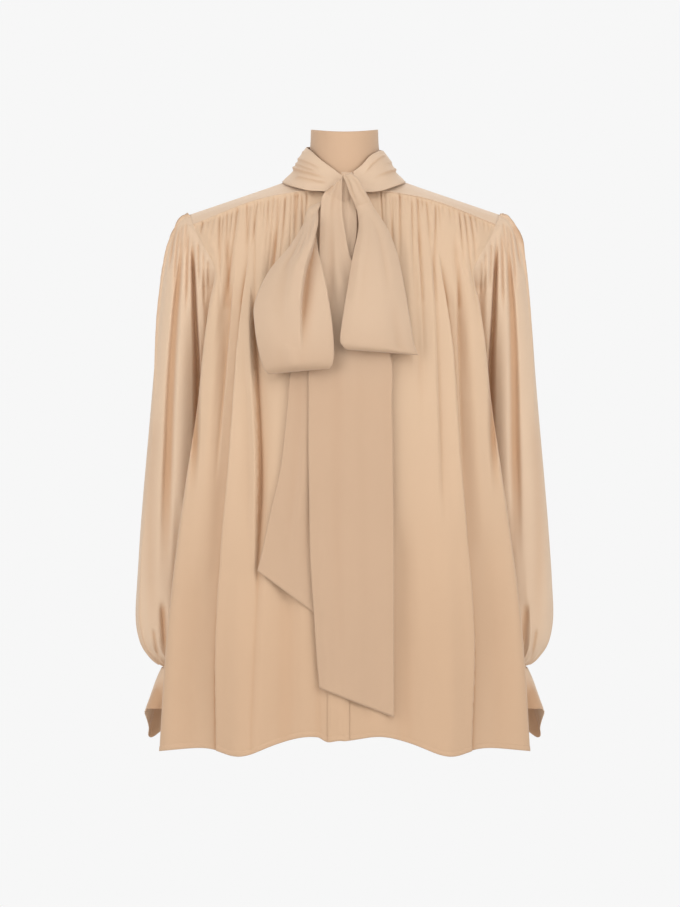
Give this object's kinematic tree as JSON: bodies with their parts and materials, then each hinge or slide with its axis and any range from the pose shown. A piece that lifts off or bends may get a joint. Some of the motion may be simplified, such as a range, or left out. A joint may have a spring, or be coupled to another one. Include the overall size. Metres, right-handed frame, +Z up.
{
  "type": "tie neck blouse",
  "caption": "Full blouse filled out as if worn, with a stand collar, a scarf tied in a bow, gathers under a yoke, wide sleeves and flared cuffs.",
  "frame": {"origin": "middle of the neck, level with the highest points of the shoulders, where a wearer holds the blouse", "axes": "+Z up, -Y is the front, +X is the wearer's left side"},
  "size_m": [0.5565, 0.3328, 0.8233],
  "materials": {
    "body": "soft matt silk crepe in beige",
    "sleeve": "soft matt silk crepe in beige",
    "neck": "soft matt silk crepe in beige, two layers",
    "bow": "soft silk crepe in beige, two layers"
  },
  "bodies": {
    "root": {"front_right": "body", "front_left": "body", "placket": "body", "back": "body", "yoke": "neck", "sleeve_right": "sleeve", "sleeve_left": "sleeve", "cuff_band_right": "sleeve", "cuff_band_left": "sleeve", "cuff_flare_right": "sleeve", "cuff_flare_left": "sleeve", "collar_stand": "neck", "scarf_wrap_right": "neck", "scarf_wrap_left": "neck", "knot": "bow", "loop_right": "bow", "loop_left": "bow", "tail_long": "bow", "tail_short": "bow"}
  },
  "joints": []
}
